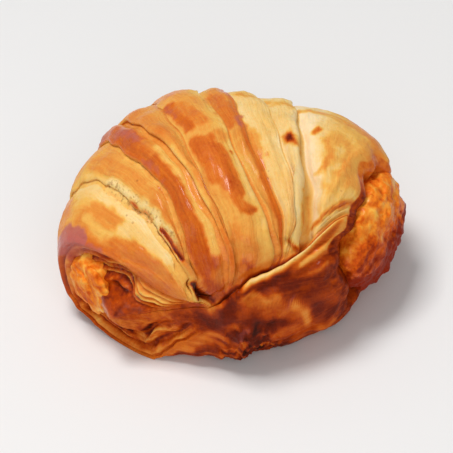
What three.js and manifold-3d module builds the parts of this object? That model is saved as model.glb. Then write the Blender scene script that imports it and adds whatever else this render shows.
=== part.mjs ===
// A small filled croissant: one rolled and baked dough body, and the soft filling that runs through it.
// Millimetres. +X runs along the croissant, +Y points to its rounded back, +Z is up, and z = 0 is the
// surface that it was baked on. The origin is under the middle of the whole croissant.
import * as THREE from "three";
import { mergeVertices } from "three/addons/utils/BufferGeometryUtils.js";
import Module from "manifold-3d";

const wasm = await Module();
wasm.setup();

// Driving dimensions.
const MIDDLE = new THREE.Vector3(1.52, 40.685, 0); // the middle of the croissant, in the spine's own plan
const AROUND = 48; // facets round the roll
const ROWS_PER_WRAP = 8;
const ROWS_PER_END = 4;
const WRAP_STEP = 2.6; // how far a wrap's edge stands above the wrap under it
const WRAP_SWELL = 1.2; // how far a wrap bulges between its edges
const STEP_LENGTH = 0.014; // share of the spine that a wrap's edge takes to rise
const APRON_STEP = 2.2; // how far the bottom layer stands out along the front, under its lip
const TOE_REACH = 11; // how far the bottom layer sags forward at its left end
const END_RIM = 4.2; // the rounded rim of each end, and the dish inside it
const LEFT_DISH = 3.5;
const RIGHT_DISH = 2.0;
const CORE_AROUND = 20;
const CORE_ALONG = 26;
const CORE_END = 0.12; // share of the filling's length that rounds off each end
const LEFT_SPILL = 1.5; // how far the filling comes out of each end
const RIGHT_SPILL = 7.5;
const GAP = 0.35; // between the dough and the filling

// The centre line of the roll seen from above: a crescent whose ends come to the front.
const spine = new THREE.CubicBezierCurve3(
  new THREE.Vector3(-45, 23, 0),
  new THREE.Vector3(-21, 45, 0),
  new THREE.Vector3(9, 51, 0),
  new THREE.Vector3(46.5, 30.5, 0),
);

// Cross-sections at stations along the spine, from the left end (0) to the right end (1): the reach to the
// back and to the front of the centre line, above it and below it, and its height over the tray.
const STATIONS = [
  { t: 0.0, back: 15, front: 18, top: 15, foot: 17, height: 20, core: 7.5 },
  { t: 0.1, back: 25, front: 33, top: 22, foot: 22, height: 21, core: 9 },
  { t: 0.25, back: 36, front: 43, top: 30, foot: 26, height: 24, core: 12 },
  { t: 0.4, back: 44, front: 46, top: 35, foot: 29, height: 26, core: 14 },
  { t: 0.55, back: 43, front: 47, top: 35, foot: 30, height: 27, core: 15 },
  { t: 0.7, back: 38, front: 45, top: 32, foot: 30, height: 27, core: 14 },
  { t: 0.85, back: 33, front: 42, top: 29, foot: 28, height: 26, core: 14 },
  { t: 1.0, back: 24, front: 34, top: 24, foot: 22, height: 24, core: 17 },
];

// Where each wrap's edge crosses these angles of the cross-section, as a place on the spine.
const EDGE_ANGLES = [0, 40, 80, 120, 150, 180];
const EDGES = [
  [0.12, 0.13, 0.17, 0.18, 0.18, 0.15],
  [0.24, 0.255, 0.268, 0.278, 0.23, 0.2],
  [0.32, 0.33, 0.357, 0.415, 0.455, 0.38],
  [0.53, 0.55, 0.585, 0.69, 0.79, 0.72],
  [0.6, 0.62, 0.66, 0.765, 0.825, 0.78],
  [0.72, 0.74, 0.79, 0.865, 0.875, 0.84],
];

// The middle wrap lies over its neighbours, and each wrap over the next one out. These are how high a
// wrap stands over the one to its left and over the one to its right, in wrap steps.
const RISES_LEFT = [0, 0.8, 1, 1.1, 0, 0, 0];
const RISES_RIGHT = [0, 0, 0, 0.8, 0.5, 1.1, 0];

const smooth = (low, high, x) => THREE.MathUtils.smoothstep(x, low, high);
const power = (v, n) => Math.sign(v) * Math.abs(v) ** (2 / n);

// Smooth interpolation through points: a cubic Hermite curve with central slopes.
function through(xs, ys, x) {
  const last = xs.length - 1;
  let i = 0;
  while (i < last - 1 && x > xs[i + 1]) i += 1;
  const slope = (k) => {
    const a = Math.max(0, k - 1);
    const b = Math.min(last, k + 1);
    return (ys[b] - ys[a]) / (xs[b] - xs[a]);
  };
  const width = xs[i + 1] - xs[i];
  const q = THREE.MathUtils.clamp((x - xs[i]) / width, 0, 1);
  const q2 = q * q;
  const q3 = q2 * q;
  return (
    (2 * q3 - 3 * q2 + 1) * ys[i] +
    (q3 - 2 * q2 + q) * width * slope(i) +
    (3 * q2 - 2 * q3) * ys[i + 1] +
    (q3 - q2) * width * slope(i + 1)
  );
}

const places = STATIONS.map((s) => s.t);
const station = (name, t) => through(places, STATIONS.map((s) => s[name]), t);

// The level direction across the spine, towards the croissant's back.
function backward(t) {
  const d = spine.getTangent(t);
  return new THREE.Vector3(-d.y, d.x, 0).normalize();
}

// The angle of a cross-section is in degrees: 0 is the back, 90 the crest, 180 the front, 270 the tray.
// The wraps show on the upper side only. Below it their edges keep the place that they had at its rim.
const upper = (angle) => (angle > 270 ? angle - 360 : angle);
const shown = (angle) => smooth(-35, 15, upper(angle)) * (1 - smooth(158, 178, upper(angle)));
function edgeAt(edge, angle) {
  const rim = angle > 225 ? THREE.MathUtils.lerp(180, 360, (angle - 225) / 135) % 360 : angle;
  const folded = rim > 180 ? 360 - rim : rim;
  return through(EDGE_ANGLES, edge, THREE.MathUtils.clamp(folded, 0, 180));
}

// A row of the skin: the wrap that it is on, and the share of the way across that wrap.
function placeOfRow(row, angle) {
  const limits = [0, ...EDGES.map((edge) => edgeAt(edge, angle)), 1];
  const wrap = Math.min(Math.floor(row), limits.length - 2);
  const start = limits[wrap] + (wrap > 0 ? STEP_LENGTH : 0);
  const share = row - wrap;
  const spread = share - (0.45 * Math.sin(2 * Math.PI * share)) / (2 * Math.PI);
  const across = smooth(0, 1, spread);
  const rise = RISES_LEFT[wrap] * (1 - across) + RISES_RIGHT[wrap] * across;
  const swell = WRAP_SWELL * Math.sin(Math.PI * spread);
  const height = (WRAP_STEP * (rise - 0.5) + swell) * shown(angle);
  return { t: start + (limits[wrap + 1] - start) * spread, height };
}

// The bottom layer's lip climbs to the right.
function apronHeight(t, angle) {
  const lip = 176 - 14 * smooth(0.3, 0.7, t) - 40 * smooth(0.65, 1.05, t);
  return APRON_STEP * smooth(lip - 2, lip + 4, angle) * (1 - smooth(215, 245, angle)) * smooth(0.02, 0.12, t);
}

// The sagging toe of the bottom layer, from the left end to a little way along the front.
function toe(x, angle) {
  return TOE_REACH * smooth(188, 220, angle) * (1 - smooth(240, 280, angle)) * (1 - smooth(-44, -20, x));
}

// A point of the skin. scale shrinks the cross-section towards the centre line, for the ends.
function skin(t, angle, height, scale) {
  const a = THREE.MathUtils.degToRad(angle);
  const c = Math.cos(a);
  const s = Math.sin(a);
  const squareness = 2.1 + smooth(-0.35, 0.35, -s) * (c > 0 ? 0.5 : 1.5);
  const grow = height * smooth(0, 0.05, t) * (1 - smooth(0.94, 1, t)) + apronHeight(t, angle);
  const side = power(c, squareness) * (station(c > 0 ? "back" : "front", t) + grow) * scale;
  const rise = power(s, squareness) * (station(s > 0 ? "top" : "foot", t) + grow) * scale;
  const back = backward(t);
  const point = spine.getPoint(t).addScaledVector(back, side);
  point.addScaledVector(back, -toe(point.x, angle) * scale);
  return point.setZ(Math.max(0, station("height", t) + rise));
}

// A sphere whose vertices are carried to new places: its poles become the two ends. place is given the
// row, counted from the left pole, and the angle round the centre line.
function reshapedSphere(around, along, place) {
  const sphere = new THREE.SphereGeometry(1, around, along);
  sphere.deleteAttribute("normal");
  sphere.deleteAttribute("uv");
  const merged = mergeVertices(sphere, 1e-4);
  const position = merged.attributes.position;
  const v = new THREE.Vector3();
  for (let i = 0; i < position.count; i += 1) {
    v.fromBufferAttribute(position, i);
    const row = (Math.acos(THREE.MathUtils.clamp(v.y, -1, 1)) / Math.PI) * along;
    const angle = (THREE.MathUtils.radToDeg(Math.atan2(v.z, v.x)) + 360) % 360;
    const p = place(row, angle).sub(MIDDLE);
    position.setXYZ(i, p.x, p.y, p.z);
  }
  return merged;
}

// The outside of the dough. Each end is closed by a dish inside a rounded rim.
const doughRows = 2 * ROWS_PER_END + (EDGES.length + 1) * ROWS_PER_WRAP;
function doughPoint(row, angle) {
  const fromRight = doughRows - row;
  if (row >= ROWS_PER_END && fromRight >= ROWS_PER_END) {
    const { t, height } = placeOfRow((row - ROWS_PER_END) / ROWS_PER_WRAP, angle);
    return skin(t, angle, height, 1);
  }
  const left = row < fromRight;
  const t = left ? 0 : 1;
  const scale = Math.min(row, fromRight) / ROWS_PER_END;
  const outward = spine.getTangent(t).multiplyScalar(left ? -1 : 1);
  const rim = END_RIM * Math.sin(Math.PI * smooth(0.35, 1, scale));
  const dish = (left ? LEFT_DISH : RIGHT_DISH) * (1 - smooth(0, 0.75, scale));
  return skin(t, angle, 0, scale).addScaledVector(outward, rim - dish);
}

// The filling, from the dish at the left end to a lump that has risen out of the right end. extra makes
// the slightly larger shape that the dough is hollowed with.
function fillingPoint(extra) {
  return (row, angle) => {
    const share = row / CORE_ALONG;
    const left = share < 0.5;
    const t = THREE.MathUtils.clamp((share - CORE_END) / (1 - 2 * CORE_END), 0, 1);
    const turn = (Math.min(1, (left ? share : 1 - share) / CORE_END) * Math.PI) / 2;
    const outward = spine.getTangent(t).multiplyScalar(left ? -1 : 1);
    const radius = (station("core", t) + extra) * Math.sin(turn);
    const spill = ((left ? LEFT_SPILL : RIGHT_SPILL) + extra) * Math.cos(turn);
    const a = THREE.MathUtils.degToRad(angle);
    const point = spine.getPoint(t).addScaledVector(backward(t), Math.cos(a) * radius);
    return point.setZ(station("height", t) + Math.sin(a) * radius).addScaledVector(outward, spill);
  };
}

function toSolid(geometry) {
  const vertProperties = new Float32Array(geometry.attributes.position.array);
  const triVerts = new Uint32Array(geometry.index.array);
  return new wasm.Manifold(new wasm.Mesh({ numProp: 3, vertProperties, triVerts }));
}

function toGeometry(solid) {
  const mesh = solid.getMesh();
  const geometry = new THREE.BufferGeometry();
  geometry.setAttribute("position", new THREE.BufferAttribute(mesh.vertProperties, 3));
  geometry.setIndex(new THREE.BufferAttribute(mesh.triVerts, 1));
  geometry.computeVertexNormals();
  return geometry;
}

const crust = new THREE.MeshStandardMaterial({ color: 0xc97a35, roughness: 0.45, metalness: 0 });
const cream = new THREE.MeshStandardMaterial({ color: 0xe08a3c, roughness: 0.7, metalness: 0 });

const roll = toSolid(reshapedSphere(AROUND, doughRows, doughPoint));
const hollow = toSolid(reshapedSphere(CORE_AROUND, CORE_ALONG, fillingPoint(GAP)));
const dough = new THREE.Mesh(toGeometry(roll.subtract(hollow)), crust);
dough.name = "pastry";

const core = reshapedSphere(CORE_AROUND, CORE_ALONG, fillingPoint(0));
core.computeVertexNormals();
const filling = new THREE.Mesh(core, cream);
filling.name = "filling";

const croissant = new THREE.Group();
croissant.add(dough, filling);

export default croissant;
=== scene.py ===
"""A small filled croissant: the rolled, baked dough with its overlapping wraps, and the filling inside it.

Sizes below are in millimetres, angles in degrees. A place on the roll is (t, angle): t runs along the
centre line from the narrow left end (0) to the wide right end (1), and angle goes round the cross-section,
with 0 at the back, 90 on the crest, 180 at the front and 270 on the tray.
"""

import math

import bpy
import numpy as np
from bpy.props import FloatProperty, FloatVectorProperty, PointerProperty
from mathutils import Matrix, Vector, noise


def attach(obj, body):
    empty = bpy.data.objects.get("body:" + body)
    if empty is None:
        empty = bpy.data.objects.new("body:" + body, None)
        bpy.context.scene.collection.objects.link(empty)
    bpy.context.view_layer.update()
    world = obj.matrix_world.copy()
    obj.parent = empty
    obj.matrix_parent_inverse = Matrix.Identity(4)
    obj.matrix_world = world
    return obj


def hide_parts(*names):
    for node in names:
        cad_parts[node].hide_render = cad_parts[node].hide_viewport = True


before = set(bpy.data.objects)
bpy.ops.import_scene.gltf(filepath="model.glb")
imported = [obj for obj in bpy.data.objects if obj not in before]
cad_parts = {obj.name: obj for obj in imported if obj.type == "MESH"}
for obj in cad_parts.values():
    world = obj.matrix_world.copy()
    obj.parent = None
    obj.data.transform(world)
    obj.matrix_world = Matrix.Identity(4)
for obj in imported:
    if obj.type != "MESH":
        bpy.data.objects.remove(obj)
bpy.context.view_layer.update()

bl_info = {
    "name": "Filled croissant",
    "version": (1, 0, 0),
    "blender": (4, 5, 0),
    "location": "3D View > Sidebar > Croissant",
    "description": "Models a small filled croissant and sets it on a plain stage",
    "category": "Object",
}

MM = 0.001
MIDDLE = (1.52, 40.685)  # the frame's origin, on the plan that SPINE is drawn on
TRAY_EASE = 2.2  # how round the underside's edge is
TRAY_SINK = 0.12
SKIN_LOSS = 1.2  # how far the mean skin lies inside the sections below
FRONT_REACH = 42.0
TOE_REACH = 11.0  # how far the bottom layer runs out at the left end
LEFT_MIDDLE = (-43.0, 6.0, 17.0)
LEFT_INWARD = (0.78, 0.52, 0.05)
RIGHT_MIDDLE_Z = 24.0

# The centre line seen from above, and the cross-sections along it.
SPINE = ((-45.0, 23.0), (-21.0, 45.0), (9.0, 51.0), (46.5, 30.5))
STATIONS = {
    "t": (0.0, 0.1, 0.25, 0.4, 0.55, 0.7, 0.85, 1.0),
    "back": (15, 25, 36, 44, 43, 38, 33, 24),
    "front": (18, 33, 43, 46, 47, 45, 42, 34),
    "top": (15, 22, 30, 35, 35, 32, 29, 24),
    "foot": (17, 22, 26, 29, 30, 30, 28, 22),
    "height": (20, 21, 24, 26, 27, 27, 26, 24),
}

# The dough is a grid: columns round the roll, and rows along it with those of its two ends.
AROUND = 300
LEFT_ROWS = 36
RIGHT_ROWS = 28

# The edges of the wraps: where each one crosses EDGE_ANGLES, which way it faces, how thick it is, how that
# thickness changes round the roll, and the rows that its rounded lip takes.
EDGE_ANGLES = (0, 40, 65, 90, 110, 125, 140, 152, 168, 180)
EDGES = (
    {"side": -1, "thick": 2.2, "rows": 14,  # cap crack
     "at": (0.145, 0.15, 0.16, 0.175, 0.18, 0.178, 0.183, 0.18, 0.163, 0.15),
     "strength": (0.6, 0.6, 0.65, 0.8, 1, 1, 1, 1, 0.9, 0.8)},
    {"side": -1, "thick": 1.8, "rows": 14,  # brown wrap
     "at": (0.27, 0.27, 0.262, 0.27, 0.278, 0.265, 0.23, 0.205, 0.183, 0.175),
     "strength": (1, 0.8, 0.7, 0.8, 1, 1, 1, 0.9, 0.8, 0.8)},
    {"side": -1, "thick": 2.4, "rows": 14,  # middle wrap left
     "at": (0.3, 0.323, 0.342, 0.362, 0.39, 0.415, 0.455, 0.47, 0.43, 0.39),
     "strength": (0.6, 0.6, 0.6, 0.75, 0.9, 0.9, 0.8, 0.8, 0.8, 0.8)},
    {"side": -1, "thick": 0.5, "rows": 8,  # middle wrap ridge
     "at": (0.4, 0.415, 0.42, 0.425, 0.438, 0.465, 0.5, 0.515, 0.49, 0.45),
     "strength": (0.4, 0.4, 0.4, 0.6, 1, 1.2, 1.2, 1, 0.6, 0.4)},
    {"side": 1, "thick": 2, "rows": 14,  # middle wrap right
     "at": (0.49, 0.515, 0.54, 0.575, 0.628, 0.693, 0.755, 0.785, 0.75, 0.71),
     "strength": (0.5, 0.5, 0.5, 0.6, 0.8, 1, 1.3, 1.4, 1.2, 1)},
    {"side": 1, "thick": 1.3, "rows": 12,  # red edged wrap
     "at": (0.56, 0.58, 0.605, 0.64, 0.71, 0.772, 0.815, 0.822, 0.79, 0.75),
     "strength": (1, 1, 1, 1, 1, 0.9, 0.8, 0.7, 0.6, 0.6)},
    {"side": 1, "thick": 0.8, "rows": 8,  # thin layer
     "at": (0.63, 0.655, 0.688, 0.745, 0.808, 0.845, 0.86, 0.845, 0.81, 0.78),
     "strength": (1, 1, 1, 1, 1, 1, 0.9, 0.8, 0.7, 0.7)},
    {"side": 1, "thick": 2.6, "rows": 14,  # deep crease
     "at": (0.73, 0.745, 0.768, 0.81, 0.848, 0.872, 0.888, 0.88, 0.84, 0.81),
     "strength": (0.5, 0.5, 0.55, 0.8, 1.1, 1.2, 1.1, 1, 0.9, 0.9)},
)
WRAP_ROWS = (30, 17, 17, 9, 28, 9, 18, 11, 29)
WRAP_SWELL = (1.6, 0.9, 1.3, 0.3, 1.5, 0.8, 0.8, 0.3, 1.8)
LAST_WRAP = len(WRAP_ROWS) - 1

# A wrap's lip, seen across its edge, from the wrap under it to the top of the wrap: how far it lies past
# the edge, and how high, both in lip thicknesses.
LIP_PAST = (-0.75, -0.15, 0.45, 0.35, 0.0, 0.0, 0.3, 0.8)
LIP_HIGH = (0.0, -0.06, -0.16, 0.08, 0.36, 0.78, 1.0, 1.04)

# The bottom layer's lip, which the wraps end behind: its angle along the roll.
APRON_T = (0.0, 0.08, 0.14, 0.25, 0.465, 0.69, 0.845, 0.92, 1.0)
APRON_ANGLE = (189, 187, 182, 176, 170, 162, 154, 143, 119)
APRON_THICK = 2.6
APRON_COLUMNS = 14
FRONT_COLUMNS = 164
UNDER_COLUMNS = AROUND - FRONT_COLUMNS - APRON_COLUMNS
UNDER_SHARES = (0.0, 0.3, 0.6, 0.72, 1.0)
UNDER_REACH = (0.0, 0.2, 0.43, 0.62, 1.0)

# The open left end: how far its rim is from the end of the roll, round the roll.
OPENING_ANGLES = (0, 60, 90, 120, 145, 160, 170, 176, 184, 195, 215, 240, 270, 360)
OPENING_T = (0.004, 0.008, 0.012, 0.032, 0.055, 0.085, 0.145, 0.22, 0.22, 0.12, 0.05, 0.01, 0, 0.004)


def smooth(low, high, x):
    """0 below low, 1 above high, and an even curve between."""
    q = np.clip((x - low) / (high - low), 0, 1)
    return q * q * (3 - 2 * q)


def band(low, rise, fall, high, x):
    """0 below low, 1 from rise to fall, and 0 above high."""
    return smooth(low, rise, x) * (1 - smooth(fall, high, x))


def blend(a, b, share):
    """a where share is 0, and b where it is 1."""
    return a + (b - a) * share


def wave(angle, turns, start=0):
    """A wave of -1 to 1 that has that many turns round the roll."""
    return np.sin(np.radians(angle * turns + start))


def hill(low, high, x):
    """0 at low and at high, 1 half-way between."""
    q = np.clip((x - low) / (high - low), 0, 1)
    return np.sin(math.pi * q) ** 2


def through(xs, ys, x):
    """A smooth curve through the points (xs, ys), read at x."""
    xs = np.asarray(xs, float)
    ys = np.asarray(ys, float)
    slopes = np.gradient(ys, xs)
    i = np.clip(np.searchsorted(xs, x, side="right") - 1, 0, len(xs) - 2)
    width = xs[i + 1] - xs[i]
    q = np.clip((x - xs[i]) / width, 0, 1)
    a = (1 + 2 * q) * (1 - q) ** 2 * ys[i] + q * (1 - q) ** 2 * width * slopes[i]
    b = q * q * (3 - 2 * q) * ys[i + 1] - q * q * (1 - q) * width * slopes[i + 1]
    return a + b


def power(v, n):
    """A cosine or sine made squarer, keeping its sign: 2 leaves it round."""
    return np.sign(v) * np.abs(v) ** (2 / n)


def lumps(points, size, octaves=2, seed=0):
    """Even, repeatable noise of about -1 to 1, with lumps of that size in millimetres."""
    shift = Vector((seed * 31.7, seed * 12.9, seed * 7.3))
    flat = points.reshape(-1, 3)
    values = [noise.fractal(Vector(p) / size + shift, 1.0, 2.0, octaves) for p in flat.tolist()]
    return np.array(values).reshape(points.shape[:-1])


def spine(t):
    """The centre line's point and its unit direction at t."""
    p0, p1, p2, p3 = (np.array(p) for p in SPINE)
    t = np.asarray(t, float)[..., None]
    point = (1 - t) ** 3 * p0 + 3 * t * (1 - t) ** 2 * p1 + 3 * t * t * (1 - t) * p2 + t**3 * p3
    along = 3 * (1 - t) ** 2 * (p1 - p0) + 6 * t * (1 - t) * (p2 - p1) + 3 * t * t * (p3 - p2)
    return point - np.array(MIDDLE), along / np.linalg.norm(along, axis=-1, keepdims=True)


def section(t, angle, grow):
    """The roll's skin at t and angle, grown outwards by grow: its reach to the back, and its height."""

    def read(name):
        return through(STATIONS["t"], STATIONS[name], t)

    c = np.cos(np.radians(angle))
    s = np.sin(np.radians(angle))
    squareness = 2.1 + smooth(-0.35, 0.35, -s) * np.where(c > 0, 0.5, 1.5)
    side = power(c, squareness) * (np.where(c > 0, read("back"), read("front")) + grow)
    rise = power(s, squareness) * (np.where(s > 0, read("top"), read("foot")) + grow)
    return side, read("height") + rise


def settle(z):
    """Heights eased onto the tray, so that the underside is flat with a rounded edge."""
    return np.maximum(0, 0.5 * (z + np.sqrt(z * z + TRAY_EASE**2)) - TRAY_SINK)


def skin(t, angle, grow=0.0):
    """The point of the roll's skin at t and angle, grown outwards by grow."""
    point, along = spine(t)
    side, z = section(t, angle, grow)
    x = point[..., 0] - along[..., 1] * side
    y = point[..., 1] + along[..., 0] * side
    return np.stack([x, y, settle(z)], -1)


def speed(t, angle):
    """Millimetres along the skin for each unit of t."""
    ahead = np.clip(t + 0.01, 0, 1)
    behind = np.clip(t - 0.01, 0, 1)
    length = np.linalg.norm(skin(ahead, angle) - skin(behind, angle), axis=-1)
    return np.maximum(25.0, length / (ahead - behind))


def folded(angle):
    """The underside takes its edges from the upper side, mirrored, so that they join up round the roll."""
    rim = np.where(angle > 225, (180 + (angle - 225) / 135 * 180) % 360, angle)
    return np.clip(np.where(rim > 180, 360 - rim, rim), 0, 180)


def edge_places(angle):
    """t of the opening's rim, of each edge and of the right end, at each angle, kept in order."""
    mirrored = folded(angle)
    limits = [through(OPENING_ANGLES, OPENING_T, angle)]
    for number, edge in enumerate(EDGES):
        wander = 0.004 * wave(angle, 7, number * 50) + 0.003 * wave(angle, 17)
        place = through(EDGE_ANGLES, edge["at"], mirrored) + wander
        limits.append(np.maximum(limits[-1] + 0.012, place))
    limits.append(1 - 0.012 * (1 + wave(angle, 5, 40)) - 0.008 * (1 + wave(angle, 13)))
    return limits


def wraps_show(angle):
    """The wraps stand out on the back, the crest and the front, and fade onto the tray."""
    upper = np.where(angle > 270, angle - 360, angle)
    return smooth(-48, -12, upper)


def row_plan():
    """For each row from the left rim to the right rim: the wrap or edge that it is on, and its share."""
    plan = []
    for wrap, count in enumerate(WRAP_ROWS):
        plan += [("wrap", wrap, i / count) for i in range(count)]
        if wrap < len(EDGES):
            rows = EDGES[wrap]["rows"]
            plan += [("edge", wrap, i / rows) for i in range(rows)]
    plan.append(("wrap", LAST_WRAP, 1.0))
    return plan


PLAN = row_plan()
ALONG = LEFT_ROWS + len(PLAN) - 1 + RIGHT_ROWS
FIRST = LEFT_ROWS
LAST = ALONG - RIGHT_ROWS
RIGHT_RIM = 2  # the rows past LAST that still have the skin's look


def lip_table(table, q):
    """LIP_PAST or LIP_HIGH, read at q: 0 at the wrap under the lip, 1 at the top of the wrap."""
    return through(np.linspace(0, 1, len(table)), table, q)


def lip_shape(side, share):
    """A lip's profile at share of its rows, for an edge that faces side: how far past it, and how high."""
    q = share if side < 0 else 1 - share
    past = lip_table(LIP_PAST, q)
    return (past if side < 0 else -past), lip_table(LIP_HIGH, q)


def wrap_height(wrap, share, thick):
    """A wrap's own height: its lips' thickness at each side that lies over a neighbour, and its swell."""
    left = EDGES[wrap - 1] if wrap > 0 else None
    right = EDGES[wrap] if wrap < len(EDGES) else None
    across = smooth(0, 1, share)
    height = WRAP_SWELL[wrap] * np.sin(math.pi * share) ** 0.8
    if left and left["side"] < 0:
        height = height + LIP_HIGH[-1] * thick[wrap - 1] * (1 - across)
    if right and right["side"] > 0:
        height = height + LIP_HIGH[-1] * thick[wrap] * across
    return height


def roll_rows(angle, covered):
    """For every row between the two rims and a grid of angles: t, height, wrap, share, and how far inside
    a fold it is."""
    shape = (LAST - FIRST + 1, AROUND)
    t, height, wrap_of, share_of, fold = (np.zeros(shape) for _ in range(5))
    for number, (kind, index, share) in enumerate(PLAN):
        a = angle[number]
        limits = edge_places(a)
        show = wraps_show(a) * (1 - covered[number])
        thick = [edge["thick"] * show * edge_strength(edge, a) for edge in EDGES]
        size = [np.maximum(0.4, h) for h in thick]

        def on_lip(edge, share):
            """t of the row at that share of an edge's lip."""
            place = limits[edge + 1]
            return place + lip_shape(EDGES[edge]["side"], share)[0] * size[edge] / speed(place, a)

        if kind == "edge":
            t[number] = on_lip(index, share)
            height[number] = lip_shape(EDGES[index]["side"], share)[1] * thick[index]
            wrap_of[number] = index + (1 if share > 0.5 else 0)
            share_of[number] = 0.0 if share > 0.5 else 1.0
            fold[number] = 1 - smooth(0.45, 0.85, share if EDGES[index]["side"] < 0 else 1 - share)
            continue
        start = on_lip(index - 1, 1) if index > 0 else limits[0]
        end = on_lip(index, 0) if index < LAST_WRAP else limits[-1]
        t[number] = blend(start, end, share)
        height[number] = wrap_height(index, share, thick) * (0.25 + 0.75 * show)
        wrap_of[number] = index
        share_of[number] = share
    return np.clip(t, 0, 1), height, wrap_of, share_of, fold


def edge_strength(edge, angle):
    """An edge's thickness varies along it."""
    waver = 1 + 0.18 * wave(angle, 11, 90 * edge["thick"]) + 0.1 * wave(angle, 23)
    return waver * through(EDGE_ANGLES, edge["strength"], folded(angle))


def apron_lip(t):
    """The angle of the bottom layer's lip, with small ripples in it."""
    ripple = 0.5 * np.sin(t * 37) + 0.2 * np.sin(t * 83 + 1)
    return through(APRON_T, APRON_ANGLE, t) + ripple


def column_angles(column, t):
    """The angle of each column, so that one group of columns follows the bottom layer's lip."""
    lip = apron_lip(t)
    q = (column - FRONT_COLUMNS) / APRON_COLUMNS
    past = lip_table(LIP_PAST, np.clip(q, 0, 1)) - LIP_PAST[0]
    to_angle = math.degrees(APRON_THICK / FRONT_REACH) * (0.25 + 0.75 * smooth(0.2, 0.3, t))
    last = lip + (LIP_PAST[-1] - LIP_PAST[0]) * to_angle
    rest = np.clip((column - FRONT_COLUMNS - APRON_COLUMNS) / UNDER_COLUMNS, 0, 1)
    rest = through(UNDER_SHARES, UNDER_REACH, rest)
    front = lip * column / FRONT_COLUMNS
    return np.where(q < 0, front, np.where(q <= 1, lip + past * to_angle, last + (360 - last) * rest))


def apron_height(column, t, angle):
    """How far the bottom layer stands out past the wraps' ends, from its lip to the tray."""
    q = (column - FRONT_COLUMNS) / APRON_COLUMNS
    high = lip_table(LIP_HIGH, np.clip(q, 0, 1))
    height = high * APRON_THICK * (1 - smooth(228, 262, angle)) * (1 - 0.5 * smooth(0.8, 1.0, t))
    height = height * np.maximum(smooth(0.2, 0.3, t), smooth(188, 205, angle))
    toe = TOE_REACH * band(188, 220, 240, 280, angle)
    return height + toe * (1 - smooth(-45, -20, skin(t, angle)[..., 0]))


def lay_out():
    """The grid of the dough's surface between its rims, as places on the roll and heights over it."""
    column = np.mgrid[0 : LAST - FIRST + 1, 0:AROUND][1].astype(float)
    covered = smooth(FRONT_COLUMNS - 4, FRONT_COLUMNS + APRON_COLUMNS * 0.4, column)
    t = np.full(column.shape, 0.5)
    for _ in range(5):
        angle = column_angles(column, t)
        below = covered * (1 - smooth(300, 345, angle))
        t, height, wrap, share, fold = roll_rows(angle, below)
    tucked = smooth(FRONT_COLUMNS - 20, FRONT_COLUMNS, column) * (1 - covered)
    crevice = smooth(FRONT_COLUMNS - 5, FRONT_COLUMNS, column) * (1 - covered)
    height = height * (1 - 0.5 * tucked) - 0.6 * tucked - 0.9 * crevice * smooth(0.2, 0.3, t)
    height = height * (1 - below) + apron_height(column, t, angle) - 2.2 * smooth(0.94, 1.0, t) ** 2
    lip = hill(0.35, 1.15, (column - FRONT_COLUMNS) / APRON_COLUMNS)
    return {"t": t, "angle": angle, "height": height, "wrap": wrap, "share": share, "below": below,
            "fold": fold, "lip": lip, "crevice": crevice}


# Dents in the skin: how deep, how wide from the middle, and the places that each one passes, as t in
# thousandths and the angle. A negative depth is a ridge.
DENTS = (
    (3, 1.5, ((188, 158), (203, 166), (222, 171))),
    (1.6, 1, ((215, 172), (250, 173), (300, 171))),
    (1.6, 0.7, ((172, 99), (181, 108), (184, 115))),
    (2, 0.8, ((186, 122), (190, 132), (193, 141))),
    (1, 0.6, ((158, 84), (166, 93))),
    (1.2, 1, ((835, 146), (870, 150))),
    (0.8, 0.9, ((610, 176), (700, 174), (800, 170))),
    (-0.9, 1.8, ((80, 124), (100, 134), (112, 144))),
    (-0.7, 1.4, ((45, 128), (70, 140), (100, 152), (130, 162))),
    (0.8, 0.8, ((50, 122), (74, 134), (98, 146))),
    (0.5, 0.7, ((330, 100), (352, 112), (362, 126))),
    (0.5, 0.8, ((700, 86), (745, 98), (790, 112))),
    (1.2, 1.2, ((787, 70), (822, 91), (860, 110), (884, 126), (898, 143))),
    (-0.7, 0.9, ((915, 148), (955, 138), (990, 127))),
    (0.8, 0.7, ((912, 151), (955, 143), (990, 133))),
    (-0.7, 0.9, ((925, 155), (965, 147), (995, 139))),
    (0.7, 0.8, ((920, 159), (965, 152), (995, 145))),
    (-0.5, 1, ((940, 163), (975, 158), (1000, 151))),
    (1, 1.2, ((660, 184), (760, 186), (860, 184))),
    (1.2, 0.6, ((152, 92), (160, 99))),
    (-0.5, 0.8, ((960, 74), (950, 100), (935, 122))),
    (0.5, 0.7, ((975, 78), (968, 100), (950, 120))),
    (0.4, 0.6, ((420, 122), (455, 136), (470, 146))),
)


def waist_folds(lay):
    """Thin folds that fan out from the waist, over the right wrap and the bottom layer's right end."""
    along = (lay["t"] - 0.875) * 60
    above = (through(APRON_T, APRON_ANGLE, lay["t"]) - lay["angle"]) * 0.66
    spacing = 0.5 + 0.3 * np.maximum(along, 0)
    ripple = np.sin(2 * math.pi * above / spacing + 0.5 * np.sin(lay["t"] * 60))
    return 0.45 * ripple * smooth(2.0, 4.0, along) * band(-0.5, 1.0, 6.0, 9.5, above)


def crumbly(t, angle):
    """Where the bottom layer's front has broken into crumbs."""
    return band(0.18, 0.3, 0.72, 0.85, t) * band(182, 189, 214, 232, angle)


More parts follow.
